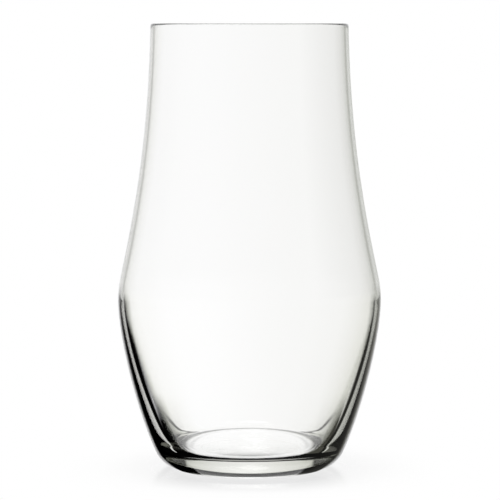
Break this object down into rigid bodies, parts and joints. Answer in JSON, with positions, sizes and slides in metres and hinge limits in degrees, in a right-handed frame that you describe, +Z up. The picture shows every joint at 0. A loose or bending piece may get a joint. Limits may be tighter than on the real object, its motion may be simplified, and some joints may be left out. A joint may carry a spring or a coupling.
{
  "type": "highball glass",
  "caption": "Tall clear drinking glass whose wall flares down from the rim to a soft low shoulder, then tapers to a rounded heel and a thick base; holds a long drink.",
  "frame": {"origin": "on the table plane, under the middle of the standing ring", "axes": "+Z up along the axis the glass is turned about; X and Y are any two level directions"},
  "size_m": [0.084, 0.084, 0.142],
  "materials": {
    "clear_glass": "clear, fire-polished"
  },
  "bodies": {
    "root": {"glass_body": "clear_glass"}
  },
  "joints": []
}
